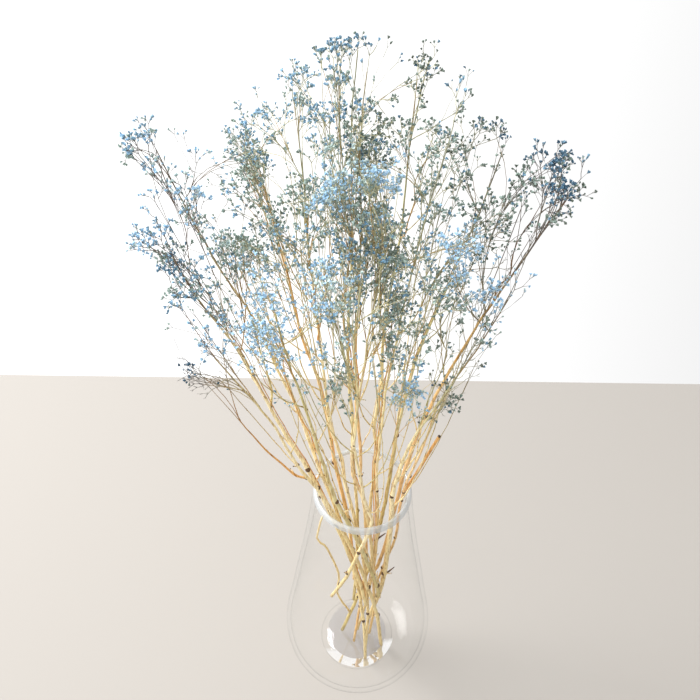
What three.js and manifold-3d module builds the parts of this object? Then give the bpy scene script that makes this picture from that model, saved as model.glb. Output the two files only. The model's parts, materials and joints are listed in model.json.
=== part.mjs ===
// Dried baby's breath standing in a clear glass vase.
// Sixteen cut stems cross inside a pear-shaped vase, lean on its lip and fan out above it into sprays
// of tiny florets. Each stem is one fused solid with its side branches, twigs and florets.
// The frame is in millimetres, +Z up, with its origin under the middle of the vase.
import * as THREE from "three";
import { mergeVertices } from "three/addons/utils/BufferGeometryUtils.js";
import Module from "manifold-3d";

const wasm = await Module();
wasm.setup();

// Driving dimensions of the vase
const VASE_HEIGHT = 280;
const VASE_SIDES = 32;
const FLOOR_TOP = 9; // top of the thick glass floor
const FLOOR_RADIUS = 34; // the flat part of the floor
const MOUTH_RADIUS = 34.4; // the narrowest place, just under the lip
const LIP_DEPTH = 3; // from the top of the lip down to that place

// Driving dimensions of the stems. Each one's foot lies CROSSING degrees round from its place in the
// mouth, so that all of them cross in a narrow waist without touching.
const STEM_RADIUS = [2.1, 2.8]; // at the foot, from the thinnest to the thickest
const STEM_TAPER = 0.7; // the share of it that is gone at the tip
const MOUTH_SHARE = 0.86; // the share of it that is left where the stem leans on the lip
const STEM_SIDES = 4;
const GAP = 0.35; // between a stem and the lip or floor that it rests on
const LEAN = 0.24; // how far a leaning stem's cut edge dips for each millimetre of its radius
const CLEARANCE = 0.7; // least gap between two stems
const OUTER_FOOT = 21.5; // how far the outer stems' feet lie from the middle of the bunch
const INNER_FOOT = 9;
const INNER_SEAT = 12; // how far from the axis the inner stems pass through the mouth
const CROSSING = 118;
const FIRST_SEAT = 12; // degrees from +X to the first outer stem's place in the mouth
const FOOT_SHIFT = new THREE.Vector3(5, -8, 0); // the bunch stands a little to the right and front
const WAIST_BEND = new THREE.Vector3(14, 4, 0); // and bows to the right where its stems cross
const VASE_STEPS = 4; // straight stretches of a main stem inside the vase
const INTERNODE = 46; // from one node to the next above the mouth
const NODE_KINK = 1.8; // how far a node may lie off the stem's curve
const BEND_SHARE = 0.42; // how much of its reach a stem runs on straight before it bends to its tip

// Driving dimensions of the shoots: the side branches, and the twigs on them
const SEED = 2718;
const SIDE_BRANCHES = 5;
const TWIGS = 3;
const SHOOT_SHARE = 0.66; // a shoot's radius beside its parent's, so that its root stays sunk in it
const SHOOT_TAPER = 0.3;
const LEAVING = THREE.MathUtils.degToRad(48); // between a shoot's start and its parent
const ELBOW_SHARE = 0.75; // how much of its way out a shoot has gone when it bends up
const GOLDEN_TURN = 2.4; // radians from one shoot round its parent to the next
const TRIES = 8; // turns that a shoot may try, each TRY_TURN radians on from the last
const TRY_TURN = 0.8;
const BLOOM_RADIUS = 3.9; // a floret, drawn larger than life so that fewer of them make the cloud
const BLOOM_DEPTH = 3.6; // from the end of its stalk to its rim
const BLOOM_HOLLOW = 0.55; // how much of that depth its middle is sunk
const BLOOM_MARGIN = 1; // room kept round it

// Driving dimensions of the crown, the space that the florets fill
const CROWN_FLOOR = 448; // no floret hangs lower in the middle of the bunch
const CROWN_DROOP = 0.3; // how much lower they hang for each millimetre to the side
const CROWN_LEAN = 0.11; // to the right for each millimetre up
const CROWN_MIDDLE = -21; // its middle's X at CROWN_FLOOR
const CROWN_HALF_WIDTH = 122;
const CROWN_HALF_DEPTH = 100;
const CROWN_FOOT = 0.77; // how much of that width and depth it has at CROWN_FLOOR
const CROWN_FLARE = 1 / 450; // and how much it gains for each millimetre up
const CROWN_TOP = 4; // how far a shoot may pass its main stem's tip

// One stem's lower end strays in front of the bunch, and its cut end hangs free
const STRAY_HEEL = [
  [-24.5, -24, 140],
  [-17, -30, 172],
  [-9, -33.5, 205],
  [-1, -34.5, 240],
];

// Where each main stem ends, and how far up the vase it was cut: 0 stands on the floor.
// The outer stems are in order round the bunch.
const OUTER_STEMS = [
  { tip: [106, 4, 560], cut: 0.42 },
  { tip: [80, 70, 544], cut: 0 },
  { tip: [30, 80, 584], cut: 0.5 },
  { tip: [-8, 74, 602], cut: 0.3 },
  { tip: [-72, 74, 542], cut: 0.45 },
  { tip: [-120, 34, 562], cut: 0 },
  { tip: [-110, -8, 522], cut: 0.36 },
  { tip: [-90, -42, 478], cut: 0 },
  { tip: [-48, -62, 532], cut: 0.4 },
  { tip: [-6, -80, 566], cut: 0, heel: STRAY_HEEL },
  { tip: [42, -76, 496], cut: 0 },
  { tip: [72, -38, 522], cut: 0.34 },
];
const INNER_STEMS = [
  { tip: [40, 14, 590], cut: 0 },
  { tip: [-4, 20, 614], cut: 0 },
  { tip: [-40, 30, 586], cut: 0 },
  { tip: [8, -38, 556], cut: 0 },
];

// Shoots that broke off and bear nothing: a thick one above the lip, and a twig inside the vase. Each
// leaves its stem at a height and goes on through its points.
const BROKEN_SHOOTS = [
  { stem: 11, height: 288, points: [[39, -18, 332], [47.5, -26, 380]], share: 0.85 },
  {
    stem: 1,
    height: 44,
    points: [[-19.9, -5, 105], [-18.6, -8, 150], [-28.4, -10, 200], [-36.5, -10, 217.7], [-31.1, -10, 252.6]],
    share: 0.5,
  },
];

const UP = new THREE.Vector3(0, 0, 1);
const radians = THREE.MathUtils.degToRad;
const vector = ([x, y, z]) => new THREE.Vector3(x, y, z);
const polar = (radius, degrees, z) =>
  new THREE.Vector3(radius * Math.cos(radians(degrees)), radius * Math.sin(radians(degrees)), z);

// Vase: up the outside, over the lip and down the inside, turned round the axis
const OUTSIDE = [
  [37.5, 0],
  [47, 2.2],
  [60, 10.5],
  [68.8, 25],
  [71.6, 44],
  [69.6, 66],
  [65.2, 92],
  [58.6, 135],
  [50.6, 185],
  [43.4, 235],
  [38.4, VASE_HEIGHT - LIP_DEPTH],
];
const LIP = [
  [37.4, VASE_HEIGHT - 0.8],
  [36.4, VASE_HEIGHT],
  [35.2, VASE_HEIGHT - 0.8],
];
const INSIDE = [
  [MOUTH_RADIUS, VASE_HEIGHT - LIP_DEPTH],
  [39.6, 235],
  [46.8, 185],
  [54.8, 135],
  [61.4, 92],
  [65.8, 66],
  [67.8, 45],
  [65.2, 28],
  [57, 16],
  [45.5, 10.6],
  [FLOOR_RADIUS, FLOOR_TOP],
];

function vaseGeometry() {
  const flat = ([r, z]) => new THREE.Vector2(r, z);
  const smooth = (points, count) => new THREE.SplineCurve(points.map(flat)).getPoints(count);
  const axis = (z) => new THREE.Vector2(0, z);
  const profile = [axis(0), ...smooth(OUTSIDE, 16), ...LIP.map(flat), ...smooth(INSIDE, 11), axis(FLOOR_TOP)];
  // A lathe turns its profile round Y, so it is stood up along Z
  return new THREE.LatheGeometry(profile, VASE_SIDES).rotateX(Math.PI / 2);
}

// A closed three.js mesh as a manifold, and back
function solid(geometry) {
  geometry.deleteAttribute("normal");
  geometry.deleteAttribute("uv");
  const { attributes, index } = mergeVertices(geometry, 1e-4);
  return new wasm.Manifold(
    new wasm.Mesh({
      numProp: 3,
      vertProperties: attributes.position.array,
      triVerts: new Uint32Array(index.array),
    }),
  );
}

function geometryOf(body) {
  const { vertProperties, triVerts } = body.getMesh();
  return new THREE.BufferGeometry()
    .setAttribute("position", new THREE.BufferAttribute(vertProperties, 3))
    .setIndex(new THREE.BufferAttribute(triVerts, 1));
}

// Joins solids in pairs, then the pairs, so that no join is a large one until the last
function joined(bodies) {
  if (bodies.length === 1) return bodies[0];
  const half = [];
  for (let i = 0; i < bodies.length; i += 2) half.push(bodies[i + 1] ? bodies[i].add(bodies[i + 1]) : bodies[i]);
  return joined(half);
}

// Rod: a cylinder with few sides whose rings are carried along a row of points. The far end of one
// that blooms widens into a floret, a cup with a pointed rim and a sunken middle, so that stalk and
// floret are one surface.
function rod({ points, radii, blooms }) {
  const last = points.length - 1;
  const centres = [...points];
  const sizes = [...radii];
  if (blooms) {
    const away = points[last].clone().sub(points[last - 1]).normalize();
    centres.push(points[last].clone().addScaledVector(away, BLOOM_DEPTH));
    sizes.push(BLOOM_RADIUS);
  }

  let across = new THREE.Vector3(1, 0, 0);
  const frames = centres.map((centre, i) => {
    const next = centres[Math.min(i + 1, centres.length - 1)];
    const direction = next.clone().sub(centres[Math.max(i - 1, 0)]).normalize();
    if (Math.abs(direction.dot(across)) > 0.9) across = new THREE.Vector3(0, 1, 0);
    across = across.clone().addScaledVector(direction, -direction.dot(across)).normalize();
    return { centre, across, side: across.clone().cross(direction), size: sizes[i] };
  });

  const rows = centres.length - 1;
  const geometry = new THREE.CylinderGeometry(1, 1, 1, STEM_SIDES, rows);
  const position = geometry.attributes.position;
  for (let v = 0; v < position.count; v++) {
    const row = Math.round((position.getY(v) + 0.5) * rows);
    const { centre, across, side, size } = frames[row];
    const [x, z] = [position.getX(v) * size, position.getZ(v) * size];
    const isMiddle = Math.hypot(x, z) < 1e-9;
    const place = centre.clone().addScaledVector(across, x).addScaledVector(side, z);
    if (blooms && isMiddle && row === rows) place.lerp(points[last], BLOOM_HOLLOW);
    position.setXYZ(v, place.x, place.y, place.z);
  }
  return solid(geometry);
}

// One seeded run of numbers from 0 to 1 for each stem
function seeded(seed) {
  let state = seed >>> 0;
  return () => {
    state = (Math.imul(state, 1664525) + 1013904223) >>> 0;
    return state / 4294967296;
  };
}
const between = (random, low, high) => low + (high - low) * random();

// What has grown already: the straight stretches of every stem, from a to b, with their radii
const grown = [];

// The gap between two stretches: between their nearest points, less both radii
function gapBetween(p, q) {
  const alongP = p.b.clone().sub(p.a);
  const alongQ = q.b.clone().sub(q.a);
  const apart = p.a.clone().sub(q.a);
  const pp = Math.max(alongP.dot(alongP), 1e-9);
  const qq = Math.max(alongQ.dot(alongQ), 1e-9);
  const pq = alongP.dot(alongQ);
  const pr = alongP.dot(apart);
  const qr = alongQ.dot(apart);
  const spread = pp * qq - pq * pq;
  const share = (x) => THREE.MathUtils.clamp(x, 0, 1);
  const first = spread > 1e-9 ? share((pq * qr - pr * qq) / spread) : 0;
  const t = share((pq * first + qr) / qq);
  const s = share((pq * t - pr) / pp);
  return apart.addScaledVector(alongP, s).addScaledVector(alongQ, -t).length() - p.radius - q.radius;
}

const isClear = (parts) =>
  parts.every((p) => grown.every((q) => q.stem === p.stem || gapBetween(p, q) > CLEARANCE));

const stretches = (points, radii, stem) =>
  points.slice(1).map((b, i) => ({ a: points[i], b, radius: Math.max(radii[i], radii[i + 1]), stem }));

// The point, the direction and the radius a share of the way along a stretch of stem
function along({ points, radii }, share) {
  const place = share * (points.length - 1);
  const i = Math.min(Math.floor(place), points.length - 2);
  return {
    at: points[i].clone().lerp(points[i + 1], place - i),
    direction: points[i + 1].clone().sub(points[i]).normalize(),
    radius: THREE.MathUtils.lerp(radii[i], radii[i + 1], place - i),
  };
}

// Main stems: from the foot, bowing through the crossing to the mouth, then in one bend to the tip
const stems = [];
function plant({ tip, cut, heel }, seatDegrees, seatRadius, footRadius) {
  const random = seeded(SEED + stems.length * 7919);
  const thick = between(random, ...STEM_RADIUS);
  const seat = polar(seatRadius(thick), seatDegrees, VASE_HEIGHT - LIP_DEPTH);
  const foot = polar(footRadius, seatDegrees + CROSSING, FLOOR_TOP + GAP + thick * LEAN).add(FOOT_SHIFT);
  const waist = foot.clone().lerp(seat, 0.5).add(WAIST_BEND);
  const standing = new THREE.QuadraticBezierCurve3(foot, waist, seat).getPoints(VASE_STEPS);
  const lower = heel ? [...heel.map(vector), seat] : standing;

  const end = vector(tip);
  const reach = end.distanceTo(seat);
  const bend = seat.clone().addScaledVector(seat.clone().sub(waist).normalize(), reach * BEND_SHARE);
  const nodes = Math.round(reach / INTERNODE);
  const upper = new THREE.QuadraticBezierCurve3(seat, bend, end).getPoints(nodes).slice(1);
  // A stem turns a little at each node above the mouth
  for (const node of upper.slice(0, -1)) {
    node.x += between(random, -NODE_KINK, NODE_KINK);
    node.y += between(random, -NODE_KINK, NODE_KINK);
  }
  const whole = [...lower, ...upper];
  const thickness = whole.map((_, i) => thick * (1 - STEM_TAPER * (i / (whole.length - 1))));

  // A stem that was cut short starts part of the way up the vase
  const first = Math.floor(cut * VASE_STEPS);
  const start = whole[first].clone().lerp(whole[first + 1], cut * VASE_STEPS - first);
  const points = [start, ...whole.slice(first + 1)];
  const radii = thickness.slice(first);
  const stem = {
    index: stems.length,
    random,
    reach,
    top: end.z + CROWN_TOP,
    crown: { points: whole.slice(VASE_STEPS), radii: thickness.slice(VASE_STEPS) },
    rods: [{ points, radii, blooms: true }],
  };
  grown.push(...stretches(points, radii, stem.index));
  stems.push(stem);
}

const onTheLip = (thick) => MOUTH_RADIUS - GAP - thick * MOUTH_SHARE;
const insideTheBunch = () => INNER_SEAT;
OUTER_STEMS.forEach((row, i) => {
  plant(row, FIRST_SEAT + (i * 360) / OUTER_STEMS.length, onTheLip, OUTER_FOOT);
});
INNER_STEMS.forEach((row, i) => {
  plant(row, (i * 360) / INNER_STEMS.length, insideTheBunch, INNER_FOOT);
});

// The crown keeps the shape of the real bunch: bare up to its floor, and widening above it
function isInCrown(tip, top) {
  const above = tip.z - CROWN_FLOOR;
  const widening = THREE.MathUtils.clamp(CROWN_FOOT + above * CROWN_FLARE, CROWN_FOOT, 1);
  const across = (tip.x - CROWN_MIDDLE - CROWN_LEAN * above) / (CROWN_HALF_WIDTH * widening);
  const deep = tip.y / (CROWN_HALF_DEPTH * widening);
  const floor = CROWN_FLOOR - Math.abs(tip.x) * CROWN_DROOP;
  return tip.z > floor && tip.z < top && Math.hypot(across, deep) < 1;
}

// A shoot leaves its parent at a wide angle, bends up and runs on beside it
function shoot({ at, direction }, turn, { length, sideways, steps }) {
  const side = Math.abs(direction.dot(UP)) > 0.95 ? new THREE.Vector3(1, 0, 0) : UP.clone().cross(direction);
  side.addScaledVector(direction, -side.dot(direction)).normalize().applyAxisAngle(direction, turn);
  const out = sideways * ELBOW_SHARE;
  const elbow = at.clone().addScaledVector(side, out).addScaledVector(direction, out / Math.tan(LEAVING));
  const end = at.clone().addScaledVector(side, sideways).addScaledVector(direction, length);
  return new THREE.QuadraticBezierCurve3(at, elbow, end).getPoints(steps);
}

// Tries a shoot at several turns round its parent, and keeps the first that stays in the crown, clear
// of the other stems
function tryShoot(stem, base, turn, size) {
  for (let attempt = 0; attempt < TRIES; attempt++) {
    const points = shoot(base, turn + attempt * TRY_TURN, size);
    const radii = points.map((_, i) => base.radius * SHOOT_SHARE * (1 - SHOOT_TAPER * (i / size.steps)));
    const end = points[size.steps];
    const tip = { a: end, b: end, radius: BLOOM_RADIUS + BLOOM_MARGIN, stem: stem.index };
    const parts = [...stretches(points, radii, stem.index), tip];
    if (isInCrown(end, stem.top) && isClear(parts)) {
      grown.push(...parts);
      const branch = { points, radii, blooms: true };
      stem.rods.push(branch);
      return branch;
    }
  }
  return null;
}

for (const { stem, height, points, share } of BROKEN_SHOOTS) {
  const parent = stems[stem].rods[0];
  const i = parent.points.findIndex((point) => point.z > height) - 1;
  const [below, above] = [parent.points[i], parent.points[i + 1]];
  const root = below.clone().lerp(above, (height - below.z) / (above.z - below.z));
  const route = [root, ...points.map(vector)];
  const radii = route.map(() => parent.radii[i + 1] * share);
  grown.push(...stretches(route, radii, stem));
  stems[stem].rods.push({ points: route, radii, blooms: false });
}

// The stems bear their side branches in turn, so that none takes all the room. The lowest branches
// are the longest, and all of them bear their twigs near the top, so that the bunch is bare below.
for (let k = 0; k < SIDE_BRANCHES; k++) {
  for (const stem of stems) {
    const { random, crown, reach } = stem;
    const height = (0.94 * (k + 0.3 + 0.4 * random())) / SIDE_BRANCHES;
    const branch = tryShoot(stem, along(crown, height), k * GOLDEN_TURN + stem.index + random(), {
      length: reach * (1 - height) * between(random, 0.62, 0.86),
      sideways: between(random, 24, 40) * (1 - 0.4 * height),
      steps: k < 2 ? 4 : 3,
    });
    if (!branch) continue;
    const lowest = 0.72 - 0.3 * height;
    for (let j = 0; j < TWIGS; j++) {
      const base = along(branch, lowest + (0.94 - lowest) * (j / (TWIGS - 1)));
      tryShoot(stem, base, j * GOLDEN_TURN + random() * 1.5, {
        length: between(random, 14, 26),
        sideways: between(random, 9, 17),
        steps: 1,
      });
    }
  }
}

// Materials
const clearGlass = new THREE.MeshStandardMaterial({
  color: 0xe8efee,
  roughness: 0.05,
  metalness: 0,
  transparent: true,
  opacity: 0.3,
});
const driedStem = new THREE.MeshStandardMaterial({ color: 0xd8b272, roughness: 0.8, metalness: 0 });

// The object
const object = new THREE.Group();

const vase = new THREE.Mesh(vaseGeometry(), clearGlass);
vase.name = "vase";
object.add(vase);

for (const stem of stems) {
  const spray = new THREE.Mesh(geometryOf(joined(stem.rods.map(rod))), driedStem);
  spray.name = "spray_" + String(stem.index + 1).padStart(2, "0");
  object.add(spray);
}

export default object;
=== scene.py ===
# %% [markdown]
# # Dried baby's breath in a clear glass vase
#
# Sixteen dried stems stand in a pear-shaped vase. They cross in its neck, lean on its lip and fan out
# into clouds of tiny papery florets, some of them dyed blue. The construction model already holds the
# vase and one solid for each stem. This script gives them their looks. It grows every stem again by the
# same rule, so that each fine branch follows the solid that it stands for, and then goes on where the
# construction stops: round stems with nodes, thread-like stalks and thousands of florets.

import bpy
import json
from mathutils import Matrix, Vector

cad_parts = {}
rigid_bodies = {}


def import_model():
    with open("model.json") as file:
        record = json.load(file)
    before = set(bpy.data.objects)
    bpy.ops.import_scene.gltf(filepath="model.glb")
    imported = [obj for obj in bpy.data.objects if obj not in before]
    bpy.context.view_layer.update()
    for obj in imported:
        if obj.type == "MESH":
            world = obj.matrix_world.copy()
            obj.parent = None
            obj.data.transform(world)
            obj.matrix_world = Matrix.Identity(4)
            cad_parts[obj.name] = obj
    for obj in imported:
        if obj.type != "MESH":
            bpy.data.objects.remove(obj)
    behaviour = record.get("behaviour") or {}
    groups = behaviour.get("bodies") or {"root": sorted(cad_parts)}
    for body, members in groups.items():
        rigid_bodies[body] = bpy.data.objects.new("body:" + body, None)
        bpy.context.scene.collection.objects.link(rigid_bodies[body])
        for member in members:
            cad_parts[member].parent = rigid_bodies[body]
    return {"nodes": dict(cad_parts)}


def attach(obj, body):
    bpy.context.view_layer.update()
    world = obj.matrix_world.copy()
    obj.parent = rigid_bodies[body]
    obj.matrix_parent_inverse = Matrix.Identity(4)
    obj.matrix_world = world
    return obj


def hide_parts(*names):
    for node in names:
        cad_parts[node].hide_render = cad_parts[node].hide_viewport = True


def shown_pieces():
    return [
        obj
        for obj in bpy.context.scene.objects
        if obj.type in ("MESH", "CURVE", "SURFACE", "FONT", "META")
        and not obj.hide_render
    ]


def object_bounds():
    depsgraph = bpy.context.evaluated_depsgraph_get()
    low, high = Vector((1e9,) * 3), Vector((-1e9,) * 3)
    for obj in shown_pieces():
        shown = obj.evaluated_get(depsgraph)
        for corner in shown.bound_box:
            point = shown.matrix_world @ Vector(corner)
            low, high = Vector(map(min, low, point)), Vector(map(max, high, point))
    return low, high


for left in list(bpy.data.objects):
    bpy.data.objects.remove(left)
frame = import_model()
cad_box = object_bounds()

import json
import math
from collections import namedtuple
from random import Random

import bmesh
import numpy as np
from mathutils import Matrix, Vector

MM = 0.001
print("frame:", len(frame["nodes"]), "nodes, box", [[round(c, 3) for c in corner] for corner in cad_box])

# %% [markdown]
# ## Camera
#
# The camera looks down on the bunch at about 46 degrees from quite near, which spreads the crown
# towards the top of the picture and makes the vase look small. It is placed by its position and by the
# three directions that it looks, rises and reaches along, with a slight roll.

# %% Camera
CAMERA_AT = Vector((-11.2, -303.8, 747.4)) * MM
CAMERA_DOWN = math.radians(46)
CAMERA_ROLL = math.radians(0.78)
CAMERA_LENS = 36.2  # millimetres
SENSOR_WIDTH = 36
NEAREST_SEEN = 10 * MM


def new_object(name, data):
    """An object in the scene, made from its data."""
    made = bpy.data.objects.new(name, data)
    bpy.context.scene.collection.objects.link(made)
    return made


ahead = Vector((0, math.cos(CAMERA_DOWN), -math.sin(CAMERA_DOWN)))
level = Vector((1, 0, 0))
right = level * math.cos(CAMERA_ROLL) + level.cross(ahead) * math.sin(CAMERA_ROLL)
rise = right.cross(ahead)
camera_data = bpy.data.cameras.new("camera")
camera_data.lens = CAMERA_LENS
camera_data.sensor_width = SENSOR_WIDTH
camera_data.clip_start = NEAREST_SEEN
camera = new_object("camera", camera_data)
camera.matrix_world = Matrix.Translation(CAMERA_AT) @ Matrix((right, rise, -ahead)).transposed().to_4x4()
bpy.context.scene.camera = camera
print("camera looks along", [round(c, 3) for c in ahead])

# %% [markdown]
# ## Helpers for materials
#
# Every colour is written as the sRGB hex value that a colour picker shows. Shaders work in linear
# light, so one function turns a hex value into a linear colour. One more function adds a node with its
# settings and its links, which keeps each material down to a few readable lines. What it returns is the
# output that the next node takes in.


# %% Colour and node helpers
def linear(hex_colour):
    """The linear colour of an sRGB hex value such as '#D9A85A'."""
    channels = [int(hex_colour[i : i + 2], 16) / 255 for i in (1, 3, 5)]
    return (*(c / 12.92 if c <= 0.04045 else ((c + 0.055) / 1.055) ** 2.4 for c in channels), 1)


def new_material(name):
    """An empty node material and its Principled shader."""
    material = bpy.data.materials.new(name)
    material.use_nodes = True
    return material, material.node_tree.nodes["Principled BSDF"]


def set_up(material, node, settings, feeds):
    """Settings go to a node's options, inputs or colour stops, and feeds link its inputs."""
    for key, value in settings.items():
        if key == "stops":
            elements = node.color_ramp.elements
            while len(elements) < len(value):
                elements.new(0.5)
            for element, (position, colour) in zip(elements, value):
                element.position = position
                element.color = linear(colour)
        elif hasattr(node, str(key)):
            setattr(node, key, value)
        else:
            node.inputs[key].default_value = value
    for key, source in feeds.items():
        material.node_tree.links.new(source, node.inputs[key])


def add(material, kind, settings, feeds=None, output=0):
    """Adds one shader node with its settings and links, and returns one of its outputs."""
    node = material.node_tree.nodes.new("ShaderNode" + kind)
    set_up(material, node, settings, feeds or {})
    return node.outputs[output]


# The settings of a Mix node that mixes two colours or tints one with the other, and its sockets
MIX = {"data_type": "RGBA"}
TINT = {"data_type": "RGBA", "blend_type": "MULTIPLY"}
SHARE, FIRST, SECOND, MIXED = 0, 6, 7, 2


# %% [markdown]
# ## Glass
#
# The real vase is blown soda-lime glass about 4 mm thick. A wall of it hides almost nothing, so what
# the eye sees is its edge: wherever the view grazes the surface, the glass turns from a window into a
# mirror. Tracing every refraction through the two nested walls would be slow and would blacken the lip,
# because the light is lost after a dozen bounces inside it. Here each surface is a mirror that shows
# only as much as real glass reflects at that angle: a few percent face on, and everything edge on. The
# lip, the floor and the heel under it show more, because light gathers in their thicker glass. The ring
# round the floor shows only as a painted highlight, a bright crescent on its side towards the viewer.


# %% Clear glass
EDGE_POWER = 9  # how late a surface turns from a window into a mirror
# A painted highlight on the ring round the floor: it shows only in a crescent on its side towards the
# viewer
PAINTED_HIGHLIGHT_SIDE = (0.17, -0.98, 0)
PAINTED_CRESCENT = {"From Min": 0.014, "From Max": 0.019}  # metres from the axis towards that side, where the painted crescent begins and where it is full


def make_glass(name, face_on, stops, mirror=1.0, painted_crescent=False):
    """A see-through mirror. It shows by a share face on and fully edge on, tinted from face to edge."""
    material, shader = new_material(name)
    facing = add(material, "LayerWeight", {"Blend": 0.5}, output="Facing")
    tint = add(material, "ValToRGB", {"stops": stops}, {"Fac": facing})
    steep = add(material, "Math", {"operation": "POWER", 1: EDGE_POWER}, {0: facing})
    share = add(material, "Math", {"operation": "MULTIPLY_ADD", 1: 1 - face_on, 2: face_on}, {0: steep})
    # Painted highlight: the share is kept only in a crescent on one side, set by place and not by any lamp
    if painted_crescent:
        place = add(material, "TexCoord", {}, output="Object")
        aside = add(material, "VectorMath", {"operation": "DOT_PRODUCT", 1: PAINTED_HIGHLIGHT_SIDE}, {0: place}, "Value")
        there = add(material, "MapRange", PAINTED_CRESCENT, {"Value": aside})
        share = add(material, "Math", {"operation": "MULTIPLY"}, {0: share, 1: there})
    settings = {"Metallic": mirror, "Roughness": 0.03}
    set_up(material, shader, settings, {"Base Color": tint, "Alpha": share})
    return material


# Blown wall: smooth from the mould, with a faint cool line where it turns away
wall_glass = make_glass("blown glass wall", 0.02, [(0, "#FFFFFF"), (0.9, "#EEF1F2"), (0.97, "#A6ABAD")])
# Its inner skin: the line is darker, because it is seen through the whole edge of the wall
inner_glass = make_glass("inner glass wall", 0.01, [(0, "#FFFFFF"), (0.9, "#E3E5E3"), (0.97, "#585E61")])
# Foot of the bulb: the wall curls under there, and its outline is a thin dark line
bulb_glass = make_glass("blown glass bulb", 0.01, [(0, "#FFFFFF"), (0.68, "#EEF1F2"), (0.8, "#2E3336")])
# Lip melted round in a flame: a thick bead that gathers the light of the room into a milky band
lip_glass = make_glass("fire polished lip", 0.62, [(0, "#D0D5D7"), (0.6, "#C6CDD1"), (1, "#A9B1B6")], 0.15)
# Thick floor: it swallows a little more light than the wall
floor_glass = make_glass("pressed glass floor", 0.17, [(0, "#96939A"), (1, "#8C8C92")])
# Heel, the ring that the vase stands on: ground flat, so it shows as a thin dark line
heel_glass = make_glass("ground glass heel", 0.5, [(0, "#6D7276"), (1, "#4C5154")])
# Ring round the floor: a painted highlight, a bright crescent on its side towards the viewer
ring_with_painted_crescent = make_glass("moulded glass ring with painted crescent", 0.6, [(0, "#FFFFFF"), (1, "#F2F4F4")], painted_crescent=True)
GLASS = [wall_glass, inner_glass, bulb_glass, lip_glass, floor_glass, heel_glass, ring_with_painted_crescent]
print("glass:", [glass.name for glass in GLASS])

# %% [markdown]
# ## Bark and paper
#
# The stems dried to straw. Low down they are pale and yellow, and towards the crown they turn olive and
# grey, as the thinner stems keep more of their old green. Fibres run along them, and their nodes are
# scarred dark where leaves fell. The florets are papery. Some took a blue dye and some stayed grey. Each
# floret has a shade of its own, and its closed base is darker than the rim of its petals. The shade of a
# cloud of florets is partly its paper's tone and partly painted shade, dark where the cloud lies in shadow.


# %% Stems
BUNCH_MIDDLE = -0.01  # metres, across the picture
ARMS = {"From Min": 0.045, "From Max": 0.09}  # metres from there, where arms begin and are darkest


def darker_in_arms(material, place, colour, dark):
    """A colour that turns into a dark one in the arms that reach out to the left and right."""
    across = add(material, "SeparateXYZ", {}, {"Vector": place}, "X")
    off = add(material, "Math", {"operation": "SUBTRACT", 1: BUNCH_MIDDLE}, {0: across})
    aside = add(material, "Math", {"operation": "ABSOLUTE"}, {0: off})
    share = add(material, "MapRange", ARMS, {"Value": aside})
    return add(material, "Mix", {**MIX, SECOND: linear(dark)}, {SHARE: share, FIRST: colour}, MIXED)


def make_straw():
    """Bark with an age by its place, a colour by its thickness, a tone for each shoot, and fibres."""
    material, shader = new_material("dried stem bark")
    place = add(material, "TexCoord", {}, output="Object")
    # Older upwards, and further along the same ramp towards the right
    height = add(material, "VectorMath", {"operation": "DOT_PRODUCT", 1: (0.7, 0, 1)}, {0: place}, "Value")
    drawn_out = add(material, "Mapping", {"Scale": (1, 1, 0.1)}, {"Vector": place})
    # Patches about 15 mm wide and 150 mm long, so that each stem has its own age
    patches = add(material, "TexNoise", {"Scale": 65, "Detail": 2}, {"Vector": drawn_out}, "Fac")
    wander = add(material, "Math", {"operation": "MULTIPLY_ADD", 1: 0.3, 2: -0.15}, {0: patches})
    aged = add(material, "Math", {"operation": "ADD"}, {0: height, 1: wander})
    age = add(material, "MapRange", {"From Min": 0.22, "From Max": 0.6}, {"Value": aged})
    stops = [(0.0, "#EBD59C"), (0.25, "#FFEFC4"), (0.55, "#FBEBB4"), (0.8, "#D8D2A0"), (1.0, "#A8A98A")]
    thick = add(material, "ValToRGB", {"stops": stops}, {"Fac": age})
    # Shoots less than a millimetre thick darkened, most of all in the arms
    stops = [(0.0, "#EECF90"), (0.45, "#ECD8A4"), (0.75, "#C2BD92"), (1.0, "#A1A188")]
    thin = add(material, "ValToRGB", {"stops": stops}, {"Fac": age})
    thin = darker_in_arms(material, place, thin, "#746B64")
    girth = add(material, "Attribute", {"attribute_name": "girth"}, output="Fac")
    stout = add(material, "MapRange", {"From Min": 0.3, "From Max": 0.85}, {"Value": girth})
    bark = add(material, "Mix", MIX, {SHARE: stout, FIRST: thin, SECOND: thick}, MIXED)
    # Some shoots are orange where the sun caught them, and a few are olive
    tone = add(material, "Attribute", {"attribute_name": "tone"}, output="Fac")
    drift = add(material, "Math", {"operation": "MULTIPLY_ADD", 1: 0.4}, {0: patches, 2: tone})
    stops = [(0.3, "#DADCC6"), (0.45, "#FFFFFF"), (0.75, "#FFFFFF"), (1.0, "#EDB46C")]
    warm = add(material, "ValToRGB", {"stops": stops}, {"Fac": drift})
    warmed = add(material, "Mix", {**TINT, SHARE: 0.8}, {FIRST: bark, SECOND: warm}, MIXED)
    # Fibres a millimetre wide and a centimetre long
    fibres = add(material, "TexNoise", {"Scale": 900, "Detail": 3}, {"Vector": drawn_out}, "Fac")
    stops = [(0.34, "#AC8E58"), (0.52, "#FFFFFF")]
    grain = add(material, "ValToRGB", {"stops": stops}, {"Fac": fibres})
    grained = add(material, "Mix", {**TINT, SHARE: 0.7}, {FIRST: warmed, SECOND: grain}, MIXED)
    relief = add(material, "Bump", {"Strength": 0.4, "Distance": 0.0002}, {"Height": fibres})
    set_up(material, shader, {"Roughness": 0.7}, {"Base Color": grained, "Normal": relief})
    return material


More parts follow.
